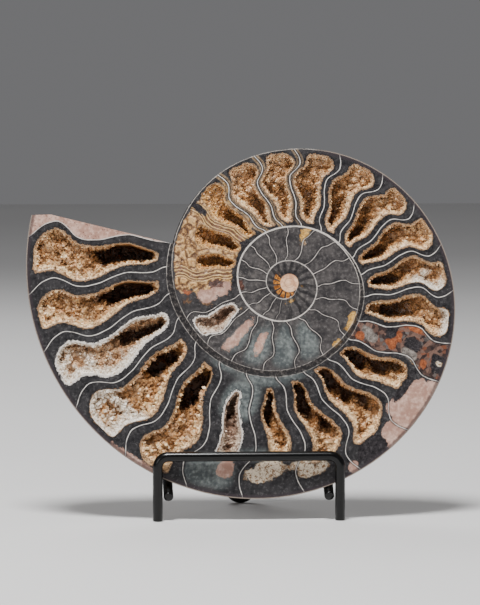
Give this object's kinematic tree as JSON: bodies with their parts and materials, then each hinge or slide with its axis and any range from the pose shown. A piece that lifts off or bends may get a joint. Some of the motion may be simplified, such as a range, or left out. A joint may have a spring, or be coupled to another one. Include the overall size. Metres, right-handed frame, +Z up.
{
  "type": "cleoniceras ammonite half on a display stand",
  "caption": "Cut and polished half of an ammonite with crystal-lined chambers, leaning on a low wire display stand with a front hoop.",
  "frame": {"origin": "under the middle of the whole piece, on the surface that it stands on", "axes": "+Z up, -Y towards the viewer of the cut face, +X to that viewer's right"},
  "size_m": [0.1726, 0.066, 0.1482],
  "materials": {
    "polished_calcite": "black and slate grey calcite with pale chamber walls, cut flat and polished",
    "tan_druse": "tan and brown calcite crystals, glittering",
    "pale_druse": "frosty white calcite crystals, glittering",
    "ochre_druse": "banded ochre and golden calcite crystals",
    "black_wire": "glossy black painted steel wire"
  },
  "bodies": {
    "root": {"ammonite_half": "polished_calcite", "crust_inner": "pale_druse", "crust_ochre_lobe": "ochre_druse", "crust_ochre_cleft": "ochre_druse", "crust_ochre_chamber": "ochre_druse", "crust_chamber_01": "tan_druse", "crust_chamber_02": "tan_druse", "crust_chamber_03": "tan_druse", "crust_chamber_04": "tan_druse", "crust_chamber_05": "tan_druse", "crust_chamber_06": "tan_druse", "crust_chamber_07": "tan_druse", "crust_chamber_08": "tan_druse", "crust_chamber_09": "tan_druse", "crust_chamber_10": "tan_druse", "crust_chamber_11": "tan_druse", "crust_chamber_12": "tan_druse", "crust_chamber_13": "tan_druse", "crust_chamber_14": "tan_druse", "crust_chamber_15": "tan_druse", "crust_chamber_16": "pale_druse", "crust_chamber_17": "tan_druse", "crust_chamber_18": "tan_druse", "front_hoop": "black_wire", "back_frame": "black_wire", "rear_leg": "black_wire"}
  },
  "joints": []
}
